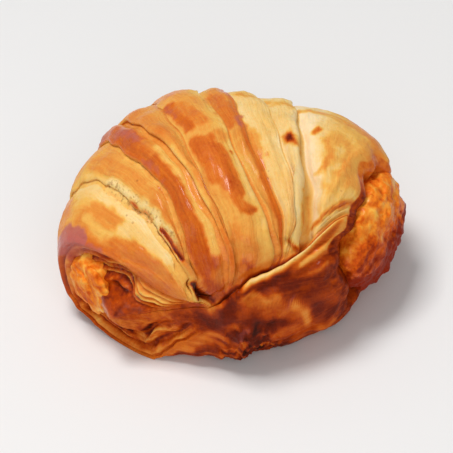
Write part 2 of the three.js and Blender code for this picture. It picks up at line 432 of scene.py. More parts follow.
def roughen(lay):
    """The small shapes that baking gives the skin: swells, wrinkles along the layers, dents and crumbs."""
    t, angle, wrap = lay["t"], lay["angle"], lay["wrap"]
    base = skin(t, angle)
    apron = lay["below"] * (1 - smooth(225, 258, angle))
    lip_near = hill(-9, 9, angle - through(APRON_T, APRON_ANGLE, t))
    height = lay["height"] + 0.55 * lumps(base, 17, 2, 1) + 0.22 * lumps(base, 5.5, 2, 2)
    turned = np.radians(angle)
    stretched = np.stack([t * 240, wrap * 3 + 2.9 * np.cos(turned), 2.9 * np.sin(turned)], -1)
    height += 0.16 * lumps(stretched, 3.0, 2, 3) * (1 - apron) * (1 - lip_near)
    flowing = np.stack([t * 9, angle * 0.55, t * 0], -1)
    height += apron * (0.75 * lumps(flowing, 4.5, 2, 4) + 0.8 * lumps(base, 8, 2, 5)) * (1 - 0.6 * lip_near)
    pocket = band(0.50, 0.62, 0.90, 0.97, t)
    height += pocket * 1.5 * band(170, 186, 193, 199, angle)
    height -= pocket * 1.3 * band(194, 200, 215, 238, angle)
    height += crumbly(t, angle) * 1.8 * np.abs(lumps(base, 3.2, 3, 6))
    torn = np.where(wrap == 1, lay["fold"], 0)
    torn = np.where(wrap == 0, smooth(0.86, 0.97, lay["share"]), torn)
    height += 0.75 * torn * band(66, 84, 142, 156, angle) * lumps(base, 1.9, 2, 7)
    sheet_rim = (1 - smooth(0.0, 0.06, t)) * band(196, 220, 300, 335, angle)
    height += sheet_rim * (0.8 + 1.5 * lumps(base, 5, 2, 35))
    valley = np.where(wrap == LAST_WRAP, 1 - smooth(0.0, 0.42, lay["share"]), 0)
    height -= 2.6 * valley * band(80, 112, 150, 165, angle) * (1 - lay["below"])
    for depth, radius, places in DENTS:
        height -= depth * brush(base, np.zeros_like(base), places, radius, 1.0)
    return height + waist_folds(lay) * (1 - smooth(0.97, 1.0, t))


# The open left end, from its middle (0) to its rim (1): how far its surface lies inside the rim, in
# millimetres, under the cap, at the front where pale layers curl, and at the bottom sheet and the back.
END_SHARES = (0, 0.3, 0.42, 0.5, 0.56, 0.62, 0.67, 0.72, 0.77, 0.82, 0.87, 0.91, 0.95, 0.98, 1)
CAP_DEPTH = (5, 5.2, 6.6, 5.0, 6.8, 5.2, 6.6, 4.8, 5.9, 4.0, 4.4, 2.8, 2.6, 0.8, 0)
CURL_DEPTH = (5, 4.4, 4.0, 4.6, 3.0, 3.8, 2.2, 3.2, 1.6, 2.6, 1.1, 2.0, 1.2, 0.6, 0)
SHEET_DEPTH = (5, 5.6, 6.6, 7.6, 7.2, 5.6, 4.2, 4.8, 5.2, 4.2, 2.2, 1.2, 2.0, 0.2, 0)
CORNER_DEPTH = (5, 5, 4.8, 4.6, 4.4, 4.1, 3.8, 3.4, 3.0, 2.6, 2.1, 1.6, 1.0, 0.4, 0)
# The bake at the same shares: it is higher where the surface lies deeper, so the grooves between layers and
# the hollow round the filling are darker, partly the layers' own colour and partly painted shade.
CAP_BAKE = (0.72, 0.76, 0.84, 0.72, 0.88, 0.66, 0.88, 0.58, 0.84, 0.52, 0.78, 0.46, 0.68, 0.56, 0.56)
CORNER_BAKE = (0.7, 0.68, 0.64, 0.66, 0.66, 0.72, 0.74, 0.8, 0.82, 0.86, 0.88, 0.88, 0.86, 0.86, 0.86)
CURL_BAKE = (0.78, 0.8, 0.78, 0.8, 0.66, 0.74, 0.3, 0.64, 0.22, 0.62, 0.28, 0.62, 0.44, 0.5, 0.56)
SHEET_BAKE = (0.6, 0.62, 0.7, 0.8, 0.78, 0.66, 0.54, 0.7, 0.86, 0.74, 0.58, 0.52, 0.82, 0.44, 0.3)


def close_left(rim, angle):
    """The open left end: its points and its bake, from the middle out to the rim."""
    middle = np.array(LEFT_MIDDLE) - np.array([*MIDDLE, 0])
    turned = np.radians(angle)
    corner = hill(163, 199, angle)
    curl = band(132, 150, 180, 190, angle) * (1 - corner)
    sheet = np.maximum(smooth(180, 190, angle), 1 - smooth(15, 60, angle)) * (1 - curl - corner)
    cap = 1 - curl - sheet - corner
    points, bake = [], []
    for number in range(LEFT_ROWS):
        scale = (number / LEFT_ROWS) ** 0.62
        flat = middle + (rim - middle) * scale
        warped = scale + (0.11 * lumps(flat, 9, 2, 31) + 0.03 * wave(angle, 2)) * hill(0.2, 1, scale)
        depth, tone = 0, 0
        for weight, depths, tones in (
            (cap, CAP_DEPTH, CAP_BAKE), (curl, CURL_DEPTH, CURL_BAKE),
            (sheet, SHEET_DEPTH, SHEET_BAKE), (corner, CORNER_DEPTH, CORNER_BAKE)):
            depth = depth + weight * through(END_SHARES, depths, np.clip(warped, 0, 1))
            tone = tone + weight * through(END_SHARES, tones, np.clip(warped, 0, 1))
        leaves = lumps(np.stack([warped * 45, 7 * np.cos(turned), 7 * np.sin(turned)], -1), 3.2, 3, 33)
        depth = depth + 0.9 * lumps(flat, 3.6, 2, 32) * hill(-0.2, 1, scale)
        depth = depth + 0.7 * leaves * sheet * hill(0.3, 1, scale)
        tone = tone + 0.3 * leaves * (1.4 * sheet + 0.9 * cap) * smooth(0.3, 0.5, scale)
        points.append(flat + np.array(LEFT_INWARD) * depth[:, None])
        bake.append(tone)
    return np.array(points), np.array(bake)


def close_right(rim):
    """The right end: a rounded edge round a shallow dish that the filling swells out of."""
    centre, along = spine(np.array(1.0))
    middle = np.append(centre, RIGHT_MIDDLE_Z)
    outward = np.append(along, 0)
    rows = []
    for number in range(RIGHT_ROWS):
        scale = 1 - (number + 1) / RIGHT_ROWS
        bulge = 1.4 * math.sin(math.pi * smooth(0.6, 1, scale)) - 5.0 * (1 - smooth(0, 0.85, scale))
        rows.append(middle + (rim - middle) * scale**0.8 + outward * bulge)
    return np.array(rows)


def dough_grid():
    """Every point of the dough, by row and column, and what its material has to know about it."""
    lay = lay_out()
    height = roughen(lay)
    body = skin(lay["t"], lay["angle"], height - SKIN_LOSS)
    left, left_bake = close_left(body[0], lay["angle"][0])
    points = np.concatenate([left, body, close_right(body[-1])])
    lay.update(colour_facts(lay, skin(lay["t"], lay["angle"])))
    facts = {name: np.pad(lay[name], [(LEFT_ROWS, RIGHT_ROWS), (0, 0)], "edge") for name in lay}
    rim_share = (np.arange(LEFT_ROWS) / LEFT_ROWS)[:, None] ** 4
    facts["bake"][:LEFT_ROWS] = blend(left_bake, lay["bake"][0], rim_share)
    facts["scorch"][:LEFT_ROWS] *= rim_share
    facts["raw"][:LEFT_ROWS] = 0
    inside = slice(LAST + RIGHT_RIM, None)
    # The right end's rim and dish: a baked edge's tone, darker from the crest round the front and
    # underside, partly baked and partly painted shadow.
    facts["bake"][inside] = 0.6 + 0.22 * smooth(96, 108, lay["angle"][-1])
    facts["end"] = np.zeros(points.shape[:-1])
    facts["end"][:LEFT_ROWS] = 1 - rim_share
    facts["end"][inside] = 1
    return points, facts


def closed_form(name, around, along):
    """A sphere whose poles will become the two ends, with each vertex's row and column."""
    bpy.ops.object.select_all(action="DESELECT")
    bpy.ops.mesh.primitive_uv_sphere_add(segments=around, ring_count=along, radius=1)
    piece = bpy.context.object
    piece.name = name
    piece.data.name = name
    co = np.empty(len(piece.data.vertices) * 3)
    piece.data.vertices.foreach_get("co", co)
    co = co.reshape(-1, 3)
    row = np.rint((1 - np.arccos(np.clip(co[:, 2], -1, 1)) / math.pi) * along).astype(int)
    column = np.rint((np.degrees(np.arctan2(co[:, 1], co[:, 0])) % 360) / 360 * around).astype(int) % around
    return piece, row, column


def put(piece, points):
    """Moves the piece's vertices to those points, in millimetres."""
    piece.data.vertices.foreach_set("co", (points * MM).astype(np.float32).ravel())
    piece.data.update()


def paint(piece, name, values):
    """Stores one number for each vertex, for the piece's material to read."""
    attribute = piece.data.attributes.new(name, "FLOAT", "POINT")
    attribute.data.foreach_set("value", np.asarray(values, np.float32))


# How far each wrap is baked at five places from its left edge to its right edge: 0 is pale inner dough,
# 0.5 golden, 0.75 red-brown and 1 nearly burnt.
BAKE_SHARES = (0.0, 0.2, 0.5, 0.8, 1.0)
WRAP_BAKE = (
    (0.52, 0.46, 0.34, 0.2, 0.12),
    (0.24, 0.36, 0.4, 0.38, 0.34),
    (0.62, 0.6, 0.54, 0.46, 0.4),
    (0.46, 0.48, 0.42, 0.38, 0.38),
    (0.34, 0.37, 0.4, 0.36, 0.24),
    (0.3, 0.35, 0.39, 0.44, 0.58),
    (0.15, 0.17, 0.2, 0.2, 0.15),
    (0.12, 0.13, 0.15, 0.16, 0.12),
    # The last wrap's right side is set paler as painted light, against the shade it lies in.
    (0.00, 0.06, 0.25, 0.33, 0.38),
)
APRON_BAKE_T = (0.0, 0.2, 0.35, 0.6, 0.9, 1.0)
APRON_BAKE = (0.62, 0.74, 0.80, 0.84, 0.82, 0.76)
FOLD_BAKE = 0.22
LIP_BAKE = 0.14
# Painted shade: the bake of the crevice where the wraps tuck in behind the bottom layer's lip.
CREVICE_SHADE_BAKE = 0.68
# Painted shade: the bake that the bottom of a crease under a lip is brought to, darker for the shade there;
# the paler one is for the first two and last two wraps.
CREASE_SHADE_BAKE = 0.5
PALE_CREASE_SHADE_BAKE = 0.34
UNDER_BAKE = 0.74

# Brush strokes on the crust, by what they change: the level that they bring it to, the brush's half-width,
# how ragged its edge is, and the places that it passes, as t in thousandths and the angle.
STROKES = {"bake": (
    (0.47, 4.8, 1, ((60, 78), (100, 90), (108, 96))),
    (0.42, 2.4, 1, ((30, 104), (70, 116), (100, 128))),
    (0.26, 1.5, 1, ((70, 104), (90, 109), (116, 116), (126, 128))),
    (0.55, 3, 0.8, ((50, 112), (76, 122), (98, 133))),
    (0.52, 2.6, 1, ((90, 142), (105, 152), (115, 160))),
    (0.62, 2.2, 1, ((12, 60), (14, 92), (30, 118))),
    (0.12, 2.6, 1, ((142, 84), (150, 104), (154, 122), (148, 136))),
    (0.2, 2.2, 1, ((100, 106), (122, 116), (125, 130))),
    (0.3, 1.6, 0.8, ((68, 78), (60, 98))),
    (0.64, 3.6, 1.3, ((282, 58), (296, 78))),
    (0.44, 3.2, 1, ((200, 58), (212, 92), (222, 112))),
    (0.5, 1.6, 1, ((226, 112), (214, 128), (202, 146))),
    (0.66, 1.2, 0.8, ((278, 93), (286, 104), (290, 118), (274, 133))),
    (0.1, 1.8, 0.9, ((168, 84), (180, 98), (190, 117), (188, 131))),
    (0.5, 1.5, 1, ((194, 144), (200, 152), (212, 160))),
    # The next four strokes darken the slits of the crack and the gash at the waist, cut as dents above:
    # painted shade inside them.
    (0.84, 0.55, 0.4, ((172, 99), (181, 108), (184, 115))),
    (0.94, 0.8, 0.4, ((186, 122), (190, 132), (193, 141))),
    (0.7, 0.35, 0.5, ((158, 84), (166, 93))),
    (1.1, 1, 0.5, ((192, 158), (205, 166), (225, 171), (262, 173))),
    (0.63, 4, 1.2, ((308, 98), (318, 112), (308, 124), (290, 140))),
    (0.7, 3.4, 1.2, ((272, 140), (282, 152), (310, 160), (330, 168))),
    (0.28, 2.4, 0.8, ((345, 92), (375, 112), (385, 130), (390, 146))),
    (0.66, 1.9, 0.6, ((430, 68), (450, 82), (464, 90))),
    (0.54, 2.2, 0.6, ((462, 72), (486, 82), (506, 89))),
    (0.62, 2.4, 0.35, ((466, 98), (484, 107), (508, 117))),
    (0.59, 2.4, 0.35, ((500, 100), (528, 110), (566, 121))),
    (0.63, 2, 0.35, ((540, 104), (575, 114), (612, 125))),
    (0.6, 1.6, 0.35, ((585, 126), (622, 130), (665, 132))),
    (0.66, 0.8, 0.35, ((630, 133), (670, 133), (692, 132))),
    (0.62, 0.8, 0.35, ((524, 97), (534, 100))),
    (0.5, 2, 1.2, ((556, 96), (572, 99))),
    (0.52, 1, 1, ((575, 141), (590, 145))),
    (0.5, 1.2, 1, ((660, 146), (690, 151))),
    (0.74, 1.8, 1.2, ((540, 160), (600, 159), (650, 158))),
    (0.52, 2.6, 1.2, ((360, 160), (440, 160), (540, 161))),
    (0.58, 1.6, 0.6, ((600, 77), (638, 90), (660, 95), (687, 102), (705, 110))),
    (0.62, 1.1, 0.5, ((700, 108), (730, 117), (770, 127), (792, 133))),
    (0.56, 2.6, 1.3, ((556, 66), (585, 80), (600, 88))),
    (0.42, 1.2, 0.8, ((668, 92), (700, 102))),
    (0.66, 1.7, 1.2, ((775, 92), (800, 95))),
    (1.00, 0.9, 0.9, ((782, 93), (797, 95))),
    (0.95, 0.4, 0.5, ((593, 106),)),
    (0.6, 0.6, 0.6, ((727, 104),)),
    (0.66, 1.2, 0.7, ((842, 84), (850, 80))),
    # Painted light: set paler to make up for the shade over this part of the right wrap.
    (0.38, 3.2, 1.4, ((905, 84), (918, 96), (938, 110))),
    (0.5, 0.9, 1.2, ((880, 88), (900, 94), (905, 102), (890, 106))),
    (0.48, 0.8, 1.2, ((930, 82), (946, 92), (944, 104))),
    (0.2, 1, 1.2, ((915, 88), (925, 98), (920, 108))),
    # Painted shade: a thin dark line along the bottom of the deep crease.
    (0.62, 0.5, 0.3, ((868, 118), (880, 128), (892, 140))),
    (0.84, 0.8, 0.6, ((850, 145), (872, 149), (893, 148))),
    (0.44, 1.6, 1.5, ((620, 60), (700, 62), (780, 64))),
    (0.46, 1.5, 1.5, ((800, 60), (880, 58), (930, 56))),
    (0.4, 3.2, 1.2, ((965, 70), (975, 90), (975, 104))),
    (0.5, 3, 1.2, ((930, 46), (985, 60), (1000, 80))),
    (0.24, 1.8, 0.9, ((935, 125), (960, 117), (982, 109))),
    (0.18, 1.3, 0.8, ((915, 140), (950, 131), (990, 118))),
    (0.62, 0.8, 0.6, ((905, 136), (945, 127), (985, 114))),
    (0.52, 3, 2, ((400, 38), (450, 54))),
    (0.5, 4, 2.5, ((520, 10), (500, 40))),
    (0.56, 3, 2.5, ((300, 2), (330, 30))),
    (0.48, 5, 2.5, ((660, 12), (700, 36))),
    (0.52, 5, 2.5, ((880, 16), (900, 40))),
    (0.54, 4, 2.5, ((100, 6), (90, 40))),
), "scorch": (
    (0.95, 3.4, 1.2, ((12, 30), (18, 60), (20, 76))),
    (0.55, 1.4, 1.3, ((10, 84), (16, 104))),
    (0.3, 1.5, 1.2, ((70, 138), (78, 146), (100, 156))),
    (0.5, 2, 1.3, ((288, 62), (302, 74), (306, 80))),
    (0.45, 0.9, 0.8, ((278, 91), (288, 100), (290, 106))),
    (0.4, 1, 0.9, ((426, 68), (440, 79))),
    (0.6, 1.2, 1.3, ((622, 82), (634, 90))),
), "raw": (
    (1, 1.7, 0.8, ((160, 82), (176, 96), (188, 117), (191, 131))),
)}

# The bottom layer's strokes: it is dark red-brown, with a pale lip and tan, lumpy patches; some strokes are
# painted highlights and some painted shade.
APRON_STROKES = {"bake": (
    (0.64, 4.5, 1, ((920, 156), (955, 150), (990, 140))),
    # The next five strokes alternate dark and pale along the waist folds: partly the crust's own colour,
    # partly painted highlight on the ridges and painted shade between them.
    (0.7, 0.8, 0.4, ((890, 155), (940, 147), (970, 139), (985, 130), (993, 122))),
    (0.36, 0.9, 0.3, ((905, 157), (940, 151), (970, 144), (988, 135), (996, 127))),
    (0.82, 1.1, 0.4, ((900, 162), (950, 158), (980, 151), (996, 142))),
    (0.58, 0.8, 0.4, ((930, 166), (970, 161), (995, 152))),
    (0.84, 1.6, 0.6, ((920, 171), (965, 168), (990, 162), (1000, 158))),
    (0.44, 0.9, 0.6, ((220, 179), (270, 177), (330, 176))),
    (0.64, 3, 1.2, ((640, 179), (740, 180), (840, 181), (900, 184))),
    # Painted highlights: the next two pale strokes run along the tan patch's bulge.
    (0.5, 1.2, 1, ((660, 177), (740, 178), (820, 177))),
    (0.44, 1.2, 0.8, ((885, 180), (910, 184), (915, 190))),
    (0.66, 1.8, 1.2, ((820, 190), (880, 190))),
    (0.62, 2.2, 1.8, ((300, 180), (380, 184))),
    (0.6, 2, 1.2, ((0, 262), (30, 226), (80, 205))),
    (0.54, 0.9, 0.8, ((70, 214), (130, 200), (200, 191), (280, 188))),
    (0.82, 1, 0.8, ((60, 226), (140, 209), (220, 199), (300, 194))),
    (0.56, 0.9, 0.8, ((100, 228), (180, 213), (260, 205))),
    (0.92, 1.8, 1.8, ((300, 192), (450, 187), (600, 190), (720, 194))),
    (0.92, 1, 1.2, ((600, 172), (760, 169), (860, 163))),
    (0.88, 1.2, 1.5, ((100, 218), (240, 202))),
    (0.92, 2.2, 1.4, ((200, 184), (270, 182), (360, 179))),
    (0.54, 0.9, 1, ((500, 178), (600, 175), (680, 173))),
    # Painted shade: darkens the gash at the waist, cut as a dent above.
    (1.00, 0.8, 0.5, ((205, 174), (225, 175), (262, 175))),
), "scorch": (
    (0.45, 1, 1.5, ((420, 190), (500, 187), (570, 184))),
    (0.4, 0.9, 1.5, ((800, 183), (860, 181), (900, 178))),
)}


def brush(base, warp, places, radius, ragged):
    """How strongly a stroke through those places reaches each point: 1 in its middle, 0 outside."""
    ts, angles = (np.array(v, float) for v in zip(*places))
    ts = ts / 1000
    if len(places) > 1:
        knots = np.linspace(0, 1, len(places))
        steps = np.linspace(0, 1, 12 * len(places))
        ts, angles = through(knots, ts, steps), through(knots, angles, steps)
    line = skin(ts, angles)
    reach = radius + 2 * ragged + 1
    near = np.all((base > line.min(0) - reach) & (base < line.max(0) + reach), -1)
    points = base[near] + warp[near] * ragged
    distance = np.full(len(points), 1e9)
    for spot in line:
        distance = np.minimum(distance, np.linalg.norm(points - spot, axis=-1))
    mask = np.zeros(base.shape[:-1])
    soft = 0.25 + ragged * (0.7 + 0.12 * radius)
    mask[near] = 1 - smooth(radius - soft, radius + soft, distance)
    return mask


def stroke_all(painted, strokes, base, warp):
    """Adds strokes: a bake stroke brings the bake to its level, and any other only raises to its own."""
    for kind, rows in strokes.items():
        for level, radius, ragged, places in rows:
            mask = brush(base, warp, places, radius, ragged)
            if kind == "bake":
                painted[kind] = blend(painted[kind], level, mask * 0.9)
            else:
                painted[kind] = np.maximum(painted[kind], level * mask)
    return painted


def warp_of(base, size, seeds):
    """Noise of three parts, which bends the strokes' edges."""
    return np.stack([lumps(base, *size, seed) for seed in seeds], -1)


def colour_facts(lay, base):
    """The painted numbers of the crust between the rims: how baked, how scorched, with a painted sheen in
    the scorched colour, and how raw it is.
    """
    warp = warp_of(base, (3.4, 3), (21, 22, 23)) * 1.2
    blank = np.zeros(base.shape[:-1])
    bake = blank
    for wrap, tones in enumerate(WRAP_BAKE):
        bake = np.where(lay["wrap"] == wrap, through(BAKE_SHARES, tones, lay["share"]), bake)
    angle = np.where(lay["angle"] > 270, lay["angle"] - 360, lay["angle"])
    # Darker round the lower front, partly baked and partly painted shade; and darker over the back towards
    # the tray.
    bake = bake + 0.14 * hill(128, 190, angle) + 0.2 * (1 - smooth(-30, 60, angle))
    bake = bake + 0.06 * lumps(base, 12, 2, 25)
    top = stroke_all({"bake": bake, "scorch": blank, "raw": blank}, STROKES, base, warp)
    # A lip's fold is paler dough (FOLD_BAKE), and its deepest row is darkened as painted shade in the
    # crease.
    crease_shade_bake = np.where((lay["wrap"] < 2) | (lay["wrap"] > 6), PALE_CREASE_SHADE_BAKE, CREASE_SHADE_BAKE)
    fold_pale_and_shade_bake = np.where(lay["fold"] > 0.97, crease_shade_bake, FOLD_BAKE)
    top["bake"] = blend(top["bake"], fold_pale_and_shade_bake, 0.7 * lay["fold"])
    # Painted shade: the crevice in front of the bottom layer's lip is darkened.
    top["bake"] = blend(top["bake"], CREVICE_SHADE_BAKE, 0.7 * lay["crevice"])
    apron_bake = through(APRON_BAKE_T, APRON_BAKE, lay["t"]) + 0.1 * lumps(base, 9, 2, 24)
    apron_bake += 0.16 * lumps(base, 4.5, 2, 26) * smooth(182, 190, angle)
    apron_bake += 0.34 * lumps(base, 2.6, 2, 30) * crumbly(lay["t"], angle)
    broad_warp = warp_of(base, (6.0, 2), (27, 28, 29)) * 1.6
    apron = stroke_all({"bake": apron_bake, "scorch": blank, "raw": blank}, APRON_STROKES, base, broad_warp)
    below = smooth(0.3, 0.7, lay["below"])
    painted = {name: blend(top[name], apron[name], below) for name in top}
    pale_lip = lay["lip"] * smooth(0.52, 0.66, lay["t"]) * (1 - 0.5 * smooth(0.95, 1.0, lay["t"]))
    painted["bake"] = blend(painted["bake"], LIP_BAKE, pale_lip)
    under = band(246, 262, 295, 325, lay["angle"])
    painted["bake"] = blend(painted["bake"], UNDER_BAKE, under)
    return painted


FILLING_AROUND = 160
FILLING_ALONG = 170
FILLING_T = (0.0, 0.1, 0.3, 0.6, 0.85, 0.95, 1.0)
FILLING_RADIUS = (9.0, 10.0, 12.0, 14.0, 15.0, 16.0, 16.6)
FILLING_END = 0.3  # the share of its rows that rounds each end
FILLING_MIDDLE_Z = 23


def filling_grid():
    """The filling's points: a lumpy core, torn open at the left end and swollen out of the right one."""
    row, column = np.mgrid[0 : FILLING_ALONG + 1, 0:FILLING_AROUND].astype(float)
    share = row / FILLING_ALONG
    t = np.clip((share - FILLING_END) / (1 - 2 * FILLING_END), 0, 1)
    left = share < 0.5
    turn = np.minimum(1, np.where(left, share, 1 - share) / FILLING_END) * math.pi / 2
    angle = np.radians(column * 360 / FILLING_AROUND)
    centre, along = spine(t)
    radius = through(FILLING_T, FILLING_RADIUS, t) * np.sin(turn)
    wide = 1 + 0.22 * smooth(0.85, 0.97, t)
    side = np.cos(angle) * radius * wide - np.where(left, 6.0 * np.cos(turn), 4.0 * smooth(0.85, 1, t))
    spill = np.where(left, -3.0, 8.0) * np.cos(turn)
    x = centre[..., 0] - along[..., 1] * side + along[..., 0] * spill
    y = centre[..., 1] + along[..., 0] * side + along[..., 1] * spill
    z = through(STATIONS["t"], STATIONS["height"], t) + np.sin(angle) * radius
    points = np.stack([x, y, z], -1)
    outward = np.stack([x - centre[..., 0], y - centre[..., 1], z - FILLING_MIDDLE_Z], -1)
    outward /= np.maximum(1, np.linalg.norm(outward, axis=-1, keepdims=True))
    rough = 2.0 * lumps(points, 6.5, 3, 11) + 0.5 * lumps(points, 2.4, 2, 12)
    rough += 1.1 * lumps(points, 3.6, 2, 13) * left * smooth(0, 0.2, np.cos(turn))
    # Painted light: the left end's filling is made lighter where it lies in shade. The right end's filling
    # gets darker towards the bottom.
    tone = np.where(left, 0.06, 0.02 - 0.46 * (1 - smooth(12, 36, z)))
    return points + outward * rough[..., None], tone


def linear(r, g, b):
    """A colour given as it looks on a screen, 0 to 255, as Blender's linear numbers."""
    return tuple(((v / 255 + 0.055) / 1.055) ** 2.4 if v > 10 else v / 255 / 12.92 for v in (r, g, b))


class Value:
    """A number in a material, on which Python's operators add Math nodes."""

    def __init__(self, finish, socket):
        self.finish = finish
        self.socket = socket

    def math(self, operation, *others):
        inputs = {i: other for i, other in enumerate((self, *others))}
        return self.finish.node("ShaderNodeMath", {"operation": operation}, inputs)

    def __add__(self, other):
        return self.math("ADD", other)

    def __sub__(self, other):
        return self.math("SUBTRACT", other)

    def __rsub__(self, other):
        return self.finish.number(other).math("SUBTRACT", self)

    def __mul__(self, other):
        return self.math("MULTIPLY", other)

    def ramp(self, low, high):
        """0 below low, 1 above high, and an even curve between."""
        settings = {"interpolation_type": "SMOOTHSTEP"}
        inputs = {"Value": self, "From Min": low, "From Max": high}
        return self.finish.node("ShaderNodeMapRange", settings, inputs)

    __radd__ = __add__
    __rmul__ = __mul__


def set_stops(ramp, stops):
    """Gives a colour ramp its stops, pairs of a position and a colour."""
    while len(ramp.elements) < len(stops):
        ramp.elements.new(1.0)
    for element, (position, colour) in zip(ramp.elements, stops):
        element.position = position
        element.color = (*colour, 1)


class Finish:
    """A new material, and the one way that its nodes are made."""

    def __init__(self, name):
        self.material = bpy.data.materials.new(name)
        self.material.use_nodes = True
        self.tree = self.material.node_tree
        self.surface = self.tree.nodes["Principled BSDF"]

    def node(self, kind, settings, inputs, output=0):
        """A node of that kind: its settings, with a ramp's stops among them, and then its sockets."""
        node = self.tree.nodes.new(kind)
        for name, setting in settings.items():
            if name == "stops":
                set_stops(node.color_ramp, setting)
            else:
                setattr(node, name, setting)
        for name, value in inputs.items():
            self.feed(node.inputs[name], value)
        return Value(self, node.outputs[output])

    def feed(self, socket, value):
        if isinstance(value, Value):
            self.tree.links.new(value.socket, socket)
        else:
            socket.default_value = value

    def set(self, **values):
        for name, value in values.items():
            self.feed(self.surface.inputs[name.replace("_", " ")], value)

    def number(self, value):
        return self.node("ShaderNodeMath", {"operation": "ADD"}, {0: value, 1: 0.0})

    def painted(self, name):
        return self.node("ShaderNodeAttribute", {"attribute_name": name}, {}, "Fac")

    def place(self):
        return self.node("ShaderNodeTexCoord", {}, {}, "Object")

    def vector(self, x, y, z):
        return self.node("ShaderNodeCombineXYZ", {}, {"X": x, "Y": y, "Z": z})

    def axis(self, place, name):
        return self.node("ShaderNodeSeparateXYZ", {}, {"Vector": place}, name)

    def noise(self, place, scale, detail=2.0, rough=0.5, twist=0.0):
        inputs = {"Vector": place, "Scale": scale, "Detail": detail}
        inputs.update({"Roughness": rough, "Distortion": twist})
        return self.node("ShaderNodeTexNoise", {}, inputs, "Fac")

    def spots(self, place, scale, feature="F1"):
        settings = {"feature": feature}
        return self.node("ShaderNodeTexVoronoi", settings, {"Vector": place, "Scale": scale}, "Distance")

    def mix(self, share, a, b):
        settings = {"data_type": "RGBA"}
        a, b = (v if isinstance(v, Value) else (*v, 1) for v in (a, b))
        return self.node("ShaderNodeMix", settings, {0: share, 6: a, 7: b}, 2)

    def scale_of(self, stops, value):
        """A colour read from stops, pairs of a position and a colour."""
        return self.node("ShaderNodeValToRGB", {"stops": stops}, {"Fac": value}, "Color")

    def bump(self, height, strength, distance, normal=None):
        inputs = {"Height": height, "Strength": strength, "Distance": distance}
        if normal:
            inputs["Normal"] = normal
        return self.node("ShaderNodeBump", {}, inputs)


LIGHT_REACH = (0.004, 0.0018, 0.0008)  # how far red, green and blue light runs inside, in metres
BAKE_STOPS = (0.00, 0.14, 0.30, 0.44, 0.58, 0.72, 0.86, 1.00)
FILLING_STOPS = (0.25, 0.42, 0.58, 0.75)


def crust_material(c):
    """Baked dough: pale in its folds, golden to red-brown where the oven reached it, brushed with egg."""
    f = Finish("crust")
    place = f.place()
    below, end = f.painted("below"), f.painted("end")

    # Streaks run along the layers: round the roll on the wraps, and lengthways on the bottom layer.
    layer = f.painted("share") * 12.0 + f.painted("wrap") * 31.0
    round_roll = f.vector(layer, f.axis(place, "Y") * 80.0, f.axis(place, "Z") * 80.0)
    streak_wrap = f.noise(round_roll, 1.0, 4.0, 0.6)
    streak_apron = f.noise(f.vector(f.painted("t") * 9.0, f.painted("angle") * 0.5, 5.0), 1.0, 4.0, 0.6)
    streaks = streak_wrap * (1 - below) + streak_apron * below
    mottle = f.noise(place, 150.0, 4.0, 0.6, 0.3)
    freckle = f.noise(place, 900.0, 3.0, 0.65)

    bake = f.painted("bake") + (streaks - 0.5) * 0.19 + (mottle - 0.5) * 0.2 + (freckle - 0.5) * 0.12
    bake = bake + end * (f.noise(place, 420.0, 3.0) - 0.5) * 0.4
    stops = zip(BAKE_STOPS, (c.raw, c.pale, c.straw, c.golden, c.amber, c.russet, c.brown, c.burnt))
    colour = f.scale_of(tuple(stops), bake)
    # Scorched places take the scorch colour, which carries a painted reflection: a pinkish sheen.
    scorch = (f.painted("scorch") + (mottle - 0.5) * 0.5 * f.painted("scorch")).ramp(0.12, 0.8)
    colour = f.mix(scorch * 0.85, colour, c.scorch)
    raw = f.painted("raw") * (1 - f.painted("bake").ramp(0.45, 0.65))
    # Painted shade: small pits in the torn dough are darkened for the shade inside them, besides their
    # dents.
    shaded_pits = f.noise(place, 700.0, 3.0, 0.6).ramp(0.52, 0.64) * raw
    colour = f.mix(raw * 0.35, colour, c.crumb)
    colour = f.mix(shaded_pits * 0.6, colour, c.pit_shade)
    specks = (1 - f.spots(place, 230.0).ramp(0.06, 0.13)) * f.noise(place, 60.0).ramp(0.54, 0.68)
    colour = f.mix(specks * 0.5, colour, c.speck)

    gloss = bake.ramp(0.25, 0.6) * (1 - below * 0.75)
    f.set(Base_Color=colour, Roughness=0.62 - gloss * 0.24 + (freckle - 0.5) * 0.2)
    f.set(Coat_Weight=(gloss * 0.6 * mottle.ramp(0.3, 0.6)), Coat_Roughness=0.16, Coat_IOR=1.4)
    f.set(IOR=1.4, Specular_IOR_Level=0.06)
    f.set(Subsurface_Weight=0.16, Subsurface_Radius=LIGHT_REACH, Subsurface_Scale=1.0)

    fine = f.bump(freckle, 0.35, 0.00035)
    lines = f.bump(streaks, 0.55, 0.0009, fine)
    blisters = f.bump(1 - f.spots(place, 420.0, "SMOOTH_F1"), 0.3, 0.0007, lines)
    f.set(Normal=f.bump(mottle - shaded_pits * 0.5, 0.5, 0.0014, blisters))
    return f.material


def filling_material(c):
    """Soft cooked filling: orange, rough and moist, with darker baked bits."""
    f = Finish("filling")
    place = f.place()
    grain = f.noise(place, 320.0, 4.0, 0.6)
    clots = f.noise(place, 110.0, 3.0, 0.6, 0.5)
    tone = grain * 0.7 + clots * 0.75 - 0.2 + f.painted("tone")
    colours = (c.filling_dark, c.filling_deep, c.filling_orange, c.filling_light)
    colour = f.scale_of(tuple(zip(FILLING_STOPS, colours)), tone)
    f.set(Base_Color=colour, Roughness=0.5 - (clots - 0.5) * 0.3, Coat_Weight=clots.ramp(0.45, 0.7) * 0.4)
    f.set(Coat_Roughness=0.2, Subsurface_Weight=0.1, Subsurface_Radius=LIGHT_REACH)
    f.set(Subsurface_Scale=1.0, Specular_IOR_Level=0.08)
    f.set(Normal=f.bump(grain, 0.7, 0.001, f.bump(clots, 0.5, 0.002)))
    return f.material


def length(name, description, metres):
    return FloatProperty(
        name=name, description=description, default=metres, unit="LENGTH", subtype="DISTANCE")


